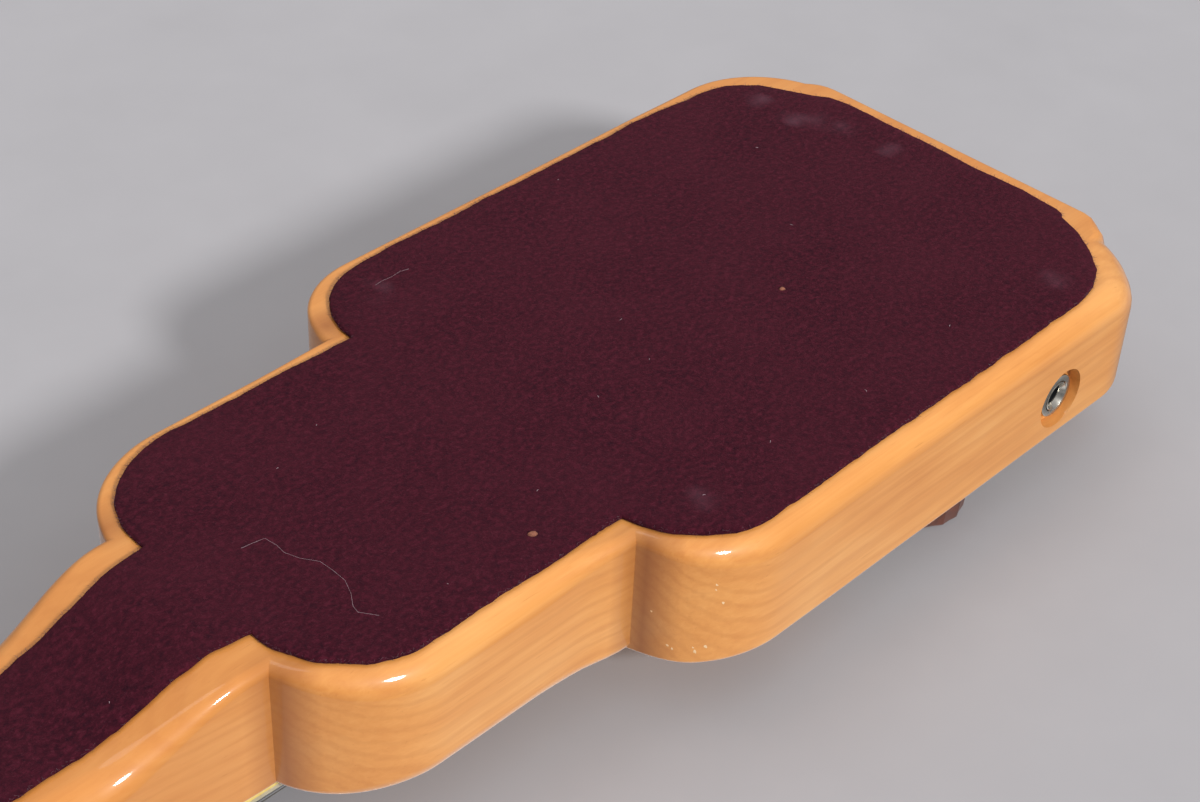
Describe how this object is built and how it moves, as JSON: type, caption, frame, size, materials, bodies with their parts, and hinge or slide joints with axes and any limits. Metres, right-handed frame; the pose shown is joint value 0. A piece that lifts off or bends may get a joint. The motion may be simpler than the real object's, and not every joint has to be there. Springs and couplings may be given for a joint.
{
  "type": "lap steel guitar",
  "caption": "Solid-body lap steel guitar with a stair-step outline, felt back, blade pickup, a fluted control knob, side jack and open worm tuners.",
  "frame": {"origin": "centre of the overall box on the plane of the felt back, on which the guitar rests strings up", "axes": "+X along the strings towards the headstock, +Y towards the bass side, +Z out of the playing face; the output jack is on the -Y side"},
  "size_m": [0.78, 0.167, 0.0612],
  "materials": {
    "maple": "clear glossy lacquer over honey maple",
    "felt": "thick burgundy wool felt, slightly pilled",
    "aged_cream": "aged cream celluloid",
    "black_laminate": "satin black laminate with pale cut lines",
    "bone": "polished bone",
    "nickel": "nickel plate",
    "steel": "plain steel",
    "brown_plastic": "moulded brown phenolic",
    "black_plastic": "moulded black",
    "copper_wire": "enamelled copper wire",
    "magnet_grey": "sintered magnet",
    "fibre": "waxed fibre",
    "cloth_wire": "cloth covered wire"
  },
  "bodies": {
    "root": {"wood_body": "maple", "felt_backing": "felt", "fretboard_core": "aged_cream", "fretboard_face": "black_laminate", "string_nut": "bone", "string_1": "steel", "string_2": "steel", "string_3": "steel", "string_4": "steel", "string_5": "steel", "string_6": "steel", "bridge_base": "nickel", "bridge_saddle": "nickel", "bridge_screw_1": "steel", "bridge_screw_2": "steel", "pickup_cover": "nickel", "pickup_bobbin": "black_plastic", "pickup_coil": "copper_wire", "pickup_blade": "steel", "pickup_magnet": "magnet_grey", "pickup_screw_1": "steel", "pickup_screw_2": "steel", "control_plate": "nickel", "control_plate_screw_1": "steel", "control_plate_screw_2": "steel", "volume_pot_case": "steel", "volume_pot_nut": "nickel", "jack_frame": "nickel", "jack_nut": "nickel", "jack_insulator": "fibre", "pickup_lead": "cloth_wire", "jack_lead": "cloth_wire", "bass_tuner_plate": "nickel", "treble_tuner_plate": "nickel"},
    "volume_control": {"volume_pot_shaft": "steel", "volume_knob": "brown_plastic"},
    "tuner_shaft_1": {"tuner_worm_1": "steel", "tuner_button_1": "aged_cream"},
    "tuner_wheel_1": {"tuner_post_1": "nickel"},
    "tuner_shaft_2": {"tuner_worm_2": "steel", "tuner_button_2": "aged_cream"},
    "tuner_wheel_2": {"tuner_post_2": "nickel"},
    "tuner_shaft_3": {"tuner_worm_3": "steel", "tuner_button_3": "aged_cream"},
    "tuner_wheel_3": {"tuner_post_3": "nickel"},
    "tuner_shaft_4": {"tuner_worm_4": "steel", "tuner_button_4": "aged_cream"},
    "tuner_wheel_4": {"tuner_post_4": "nickel"},
    "tuner_shaft_5": {"tuner_worm_5": "steel", "tuner_button_5": "aged_cream"},
    "tuner_wheel_5": {"tuner_post_5": "nickel"},
    "tuner_shaft_6": {"tuner_worm_6": "steel", "tuner_button_6": "aged_cream"},
    "tuner_wheel_6": {"tuner_post_6": "nickel"},
    "jack_contact": {"jack_tip_spring": "steel"}
  },
  "joints": [
    {"name": "volume_turn", "type": "hinge", "parent": "root", "child": "volume_control", "pos_m": [-0.3025, -0.061, 0.05], "axis": [0, 0, 1], "range_deg": [-150, 150]},
    {"name": "tuner_button_turn_1", "type": "hinge", "parent": "root", "child": "tuner_shaft_1", "pos_m": [0.26965, 0.019, 0.0145], "axis": [0, 1, 0], "continuous": true},
    {"name": "tuner_post_turn_1", "type": "hinge", "parent": "root", "child": "tuner_wheel_1", "pos_m": [0.2775, 0.019, 0.0145], "axis": [0, 0, 1], "continuous": true},
    {"name": "tuner_button_turn_2", "type": "hinge", "parent": "root", "child": "tuner_shaft_2", "pos_m": [0.30765, 0.019, 0.0145], "axis": [0, 1, 0], "continuous": true},
    {"name": "tuner_post_turn_2", "type": "hinge", "parent": "root", "child": "tuner_wheel_2", "pos_m": [0.3155, 0.019, 0.0145], "axis": [0, 0, 1], "continuous": true},
    {"name": "tuner_button_turn_3", "type": "hinge", "parent": "root", "child": "tuner_shaft_3", "pos_m": [0.34565, 0.019, 0.0145], "axis": [0, 1, 0], "continuous": true},
    {"name": "tuner_post_turn_3", "type": "hinge", "parent": "root", "child": "tuner_wheel_3", "pos_m": [0.3535, 0.019, 0.0145], "axis": [0, 0, 1], "continuous": true},
    {"name": "tuner_button_turn_4", "type": "hinge", "parent": "root", "child": "tuner_shaft_4", "pos_m": [0.26965, -0.019, 0.0145], "axis": [0, 1, 0], "continuous": true},
    {"name": "tuner_post_turn_4", "type": "hinge", "parent": "root", "child": "tuner_wheel_4", "pos_m": [0.2775, -0.019, 0.0145], "axis": [0, 0, 1], "continuous": true},
    {"name": "tuner_button_turn_5", "type": "hinge", "parent": "root", "child": "tuner_shaft_5", "pos_m": [0.30765, -0.019, 0.0145], "axis": [0, 1, 0], "continuous": true},
    {"name": "tuner_post_turn_5", "type": "hinge", "parent": "root", "child": "tuner_wheel_5", "pos_m": [0.3155, -0.019, 0.0145], "axis": [0, 0, 1], "continuous": true},
    {"name": "tuner_button_turn_6", "type": "hinge", "parent": "root", "child": "tuner_shaft_6", "pos_m": [0.34565, -0.019, 0.0145], "axis": [0, 1, 0], "continuous": true},
    {"name": "tuner_post_turn_6", "type": "hinge", "parent": "root", "child": "tuner_wheel_6", "pos_m": [0.3535, -0.019, 0.0145], "axis": [0, 0, 1], "continuous": true},
    {"name": "jack_contact_flex", "type": "hinge", "parent": "root", "child": "jack_contact", "pos_m": [-0.3358, -0.0657, 0.0389], "axis": [1, 0, 0], "range_deg": [0, 8], "stiffness_Nm_per_rad": 0.01}
  ],
  "couplings": [
    {"joint": "tuner_post_turn_1", "follows": "tuner_button_turn_1", "ratio": 0.071429},
    {"joint": "tuner_post_turn_2", "follows": "tuner_button_turn_2", "ratio": 0.071429},
    {"joint": "tuner_post_turn_3", "follows": "tuner_button_turn_3", "ratio": 0.071429},
    {"joint": "tuner_post_turn_4", "follows": "tuner_button_turn_4", "ratio": 0.071429},
    {"joint": "tuner_post_turn_5", "follows": "tuner_button_turn_5", "ratio": 0.071429},
    {"joint": "tuner_post_turn_6", "follows": "tuner_button_turn_6", "ratio": 0.071429}
  ]
}
